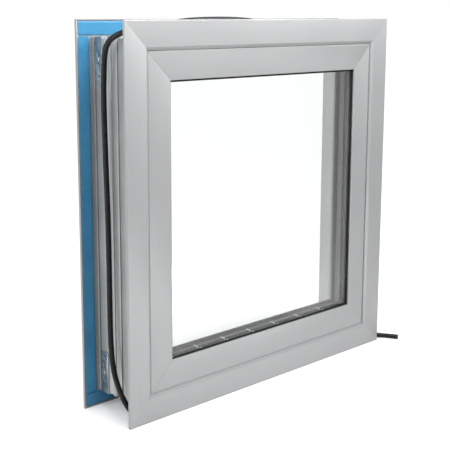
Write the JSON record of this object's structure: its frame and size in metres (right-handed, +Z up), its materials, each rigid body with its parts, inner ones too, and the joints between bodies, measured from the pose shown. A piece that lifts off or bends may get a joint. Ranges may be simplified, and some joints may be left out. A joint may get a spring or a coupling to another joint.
{
  "type": "window",
  "caption": "Square aluminium wall-clamp window with a side-hung triple-glazed sash that a room-side crank winds open through a worm gear and arm.",
  "frame": {"origin": "on the outer casing's bottom edge face, the edge the window stands on, midway along it and 3.25 mm behind the outer face", "axes": "+X to the right seen from outside, +Y from the outer face towards the room, +Z up"},
  "size_m": [0.6368, 0.1765, 0.604],
  "materials": {
    "coated_aluminium": "satin silver-grey powder coat",
    "mill_aluminium": "satin anodised",
    "blue_film": "blue protective film",
    "zinc_steel": "zinc plated",
    "black_rubber": "black EPDM",
    "cord_rubber": "smooth black rubber",
    "clear_glass": "clear float glass",
    "spacer_aluminium": "perforated mill finish",
    "grey_nylon": "moulded nylon",
    "cast_zinc": "silver painted die casting",
    "bronze": "machined bronze",
    "knob_plastic": "black moulded"
  },
  "bodies": {
    "frame": {"bracket_screws": "zinc_steel", "corner_bracket_lower_left": "zinc_steel", "corner_bracket_lower_right": "zinc_steel", "corner_bracket_upper_left": "zinc_steel", "corner_bracket_upper_right": "zinc_steel", "film_bottom": "blue_film", "film_left": "blue_film", "film_right": "blue_film", "film_top": "blue_film", "frame_cleats": "mill_aluminium", "front_casing_bottom": "coated_aluminium", "front_casing_left": "coated_aluminium", "front_casing_right": "coated_aluminium", "front_casing_top": "coated_aluminium", "front_frame_bottom": "mill_aluminium", "front_frame_left": "mill_aluminium", "front_frame_right": "mill_aluminium", "front_frame_top": "mill_aluminium", "hinge_pins": "zinc_steel", "operator_cover": "cast_zinc", "operator_housing": "cast_zinc", "operator_screws": "zinc_steel", "rear_casing_bottom": "coated_aluminium", "rear_casing_left": "coated_aluminium", "rear_casing_right": "coated_aluminium", "rear_casing_top": "coated_aluminium", "rear_frame_bottom": "mill_aluminium", "rear_frame_left": "mill_aluminium", "rear_frame_right": "mill_aluminium", "rear_frame_top": "mill_aluminium", "sealing_cord": "cord_rubber", "weather_gasket": "black_rubber", "worm_bushes": "grey_nylon"},
    "sash": {"arm_track": "zinc_steel", "edge_seals": "black_rubber", "glazing_bead_bottom": "coated_aluminium", "glazing_bead_left": "coated_aluminium", "glazing_bead_right": "coated_aluminium", "glazing_bead_top": "coated_aluminium", "glazing_gaskets": "black_rubber", "hinge_bushes": "grey_nylon", "inner_pane": "clear_glass", "inner_spacer": "spacer_aluminium", "middle_pane": "clear_glass", "outer_pane": "clear_glass", "outer_spacer": "spacer_aluminium", "sash_cleats": "mill_aluminium", "sash_rail_bottom": "coated_aluminium", "sash_rail_left": "coated_aluminium", "sash_rail_right": "coated_aluminium", "sash_rail_top": "coated_aluminium", "setting_blocks": "grey_nylon"},
    "arm": {"drive_arm": "zinc_steel", "worm_wheel": "bronze"},
    "shoe": {"track_shoe": "grey_nylon"},
    "crank": {"worm_shaft": "zinc_steel", "crank_arm": "cast_zinc", "crank_screw": "zinc_steel", "knob_pin": "zinc_steel"},
    "knob": {"crank_knob": "knob_plastic"}
  },
  "joints": [
    {"name": "sash_hinge", "type": "hinge", "parent": "frame", "child": "sash", "pos_m": [0.2524, 0.00375, 0.3], "axis": [0, 0, 1], "range_deg": [0, 35]},
    {"name": "arm_swing", "type": "hinge", "parent": "frame", "child": "arm", "pos_m": [0.1324, 0.08175, 0.056], "axis": [0, 0, 1], "range_deg": [0, 81.2]},
    {"name": "shoe_swivel", "type": "hinge", "parent": "arm", "child": "shoe", "pos_m": [0.04299, 0.04965, 0.061], "axis": [0, 0, 1], "range_deg": [-46.2, 0]},
    {"name": "crank_turn", "type": "hinge", "parent": "frame", "child": "crank", "pos_m": [0.1549, 0.11675, 0.044], "axis": [0, 1, 0], "range_deg": [-2270, 0]},
    {"name": "knob_spin", "type": "hinge", "parent": "crank", "child": "knob", "pos_m": [0.1549, 0.13475, 0.012], "axis": [0, 1, 0], "continuous": true}
  ],
  "couplings": [
    {"joint": "arm_swing", "follows": "sash_hinge", "ratio": 2.314},
    {"joint": "shoe_swivel", "follows": "sash_hinge", "ratio": -1.314},
    {"joint": "crank_turn", "follows": "sash_hinge", "ratio": -64.792}
  ]
}
